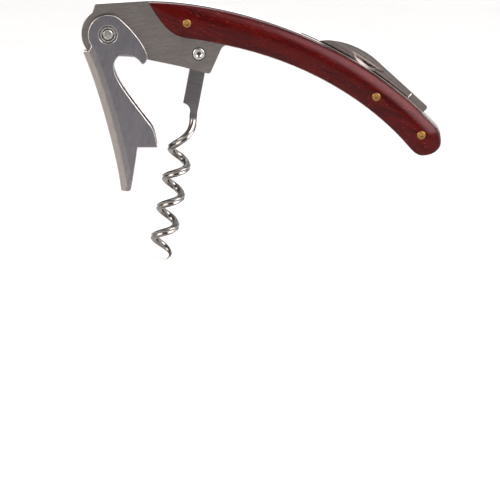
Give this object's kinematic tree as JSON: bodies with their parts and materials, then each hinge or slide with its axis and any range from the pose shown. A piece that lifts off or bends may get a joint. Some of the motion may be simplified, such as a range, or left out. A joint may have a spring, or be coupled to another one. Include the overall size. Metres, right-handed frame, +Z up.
{
  "type": "waiters corkscrew",
  "caption": "Folding waiter's corkscrew with a curved rosewood handle, a single-step boot lever with a cap lifter, a helical worm and a foil knife.",
  "frame": {"origin": "centre of the whole tool's box in the pose shown: worm down, lever down, knife closed", "axes": "+X from the lever's pivot towards the handle's tail, +Z up, -Y the front scale's side"},
  "size_m": [0.1124, 0.0138, 0.0815],
  "materials": {
    "frame_steel": "brushed, satin",
    "lever_steel": "brushed, satin",
    "worm_steel": "bright wire, darker shank",
    "blade_steel": "brushed, satin",
    "rosewood": "polished, deep red-brown",
    "brass": "polished"
  },
  "bodies": {
    "handle": {"front_liner": "frame_steel", "back_liner": "frame_steel", "head_spacer": "frame_steel", "back_spring": "frame_steel", "front_scale": "rosewood", "back_scale": "rosewood", "head_pin": "brass", "middle_pin": "brass", "knife_pin": "brass", "spring_rivet": "frame_steel", "worm_pin": "lever_steel", "front_worm_washer": "brass", "back_worm_washer": "brass", "front_blade_washer": "brass", "back_blade_washer": "brass"},
    "lever_rivet": {"lever_bush": "lever_steel", "lever_rivet": "lever_steel", "front_lever_washer": "lever_steel", "back_lever_washer": "lever_steel"},
    "lever": {"lever": "lever_steel"},
    "worm": {"worm": "worm_steel"},
    "knife": {"foil_blade": "blade_steel"}
  },
  "joints": [
    {"name": "worm_fold", "type": "hinge", "parent": "handle", "child": "worm", "pos_m": [-0.01955, 0, 0.02403], "axis": [0, -1, 0], "range_deg": [0, 73.7]},
    {"name": "lever_fold", "type": "hinge", "parent": "handle", "child": "lever_rivet", "pos_m": [-0.04795, 0, 0.03033], "axis": [0, -1, 0], "range_deg": [0, 59]},
    {"name": "lever_swing", "type": "hinge", "parent": "lever_rivet", "child": "lever", "pos_m": [-0.04795, 0, 0.03033], "axis": [0, -1, 0], "range_deg": [-85, 0]},
    {"name": "knife_open", "type": "hinge", "parent": "handle", "child": "knife", "pos_m": [0.05005, 0, -0.00117], "axis": [0, 1, 0], "range_deg": [0, 180]}
  ],
  "couplings": [
    {"joint": "lever_fold", "follows": "worm_fold", "ratio": 0.8005}
  ]
}
